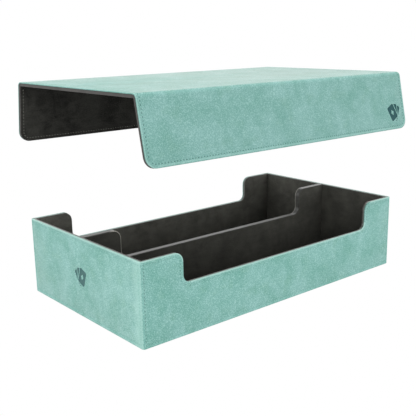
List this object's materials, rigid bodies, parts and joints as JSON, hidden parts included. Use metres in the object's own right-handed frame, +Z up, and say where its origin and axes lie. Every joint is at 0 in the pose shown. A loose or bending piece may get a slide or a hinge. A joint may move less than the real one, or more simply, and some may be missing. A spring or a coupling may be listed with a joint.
{
  "type": "card deck box",
  "caption": "Low open tray with two card rows and notched long walls, under a lift-off lid whose front and rear flaps fold down over the walls.",
  "frame": {"origin": "centre of the tray's underside, on the surface it stands on", "axes": "+X along the box's length, +Y across it towards the rear flap, +Z up"},
  "size_m": [0.35, 0.2288, 0.2217],
  "materials": {
    "mint_leather": "matte brushed grain, mottled, stitched edges",
    "suede_lining": "short-nap suede",
    "greyboard": "cut edges painted dark taupe",
    "magnet_steel": "nickel-plated discs"
  },
  "bodies": {
    "tray": {"outer_wrap": "mint_leather", "base_sheet": "mint_leather", "floor_board": "greyboard", "floor_lining": "suede_lining", "front_wall_board": "greyboard", "rear_wall_board": "greyboard", "left_wall_board": "greyboard", "right_wall_board": "greyboard", "front_lining": "suede_lining", "rear_lining": "suede_lining", "left_lining": "suede_lining", "right_lining": "suede_lining", "divider_board": "greyboard", "divider_front_lining": "suede_lining", "divider_rear_lining": "suede_lining", "front_wall_magnets": "magnet_steel", "rear_wall_magnets": "magnet_steel"},
    "lid": {"lid_top_leather": "mint_leather", "lid_top_board": "greyboard", "lid_top_lining": "suede_lining", "front_fold_leather": "mint_leather", "front_fold_board": "greyboard", "front_fold_lining": "suede_lining", "rear_fold_leather": "mint_leather", "rear_fold_board": "greyboard", "rear_fold_lining": "suede_lining"},
    "front_flap": {"front_flap_leather": "mint_leather", "front_flap_board": "greyboard", "front_flap_lining": "suede_lining", "front_flap_magnets": "magnet_steel"},
    "rear_flap": {"rear_flap_leather": "mint_leather", "rear_flap_board": "greyboard", "rear_flap_lining": "suede_lining", "rear_flap_magnets": "magnet_steel"}
  },
  "joints": [
    {"name": "lid_lift", "type": "slide", "parent": "tray", "child": "lid", "axis": [0, 0, 1], "range_m": [-0.1372, 0]},
    {"name": "front_flap_fold", "type": "hinge", "parent": "lid", "child": "front_flap", "pos_m": [0, -0.0996, 0.2167], "axis": [-1, 0, 0], "range_deg": [-12, 78], "stiffness_Nm_per_rad": 0.15, "springref_deg": 1.72, "deforming": ["front_fold_leather", "front_fold_board", "front_fold_lining"]},
    {"name": "rear_flap_fold", "type": "hinge", "parent": "lid", "child": "rear_flap", "pos_m": [0, 0.0996, 0.2167], "axis": [1, 0, 0], "range_deg": [-8, 82], "stiffness_Nm_per_rad": 0.15, "springref_deg": 1.72, "deforming": ["rear_fold_leather", "rear_fold_board", "rear_fold_lining"]}
  ]
}
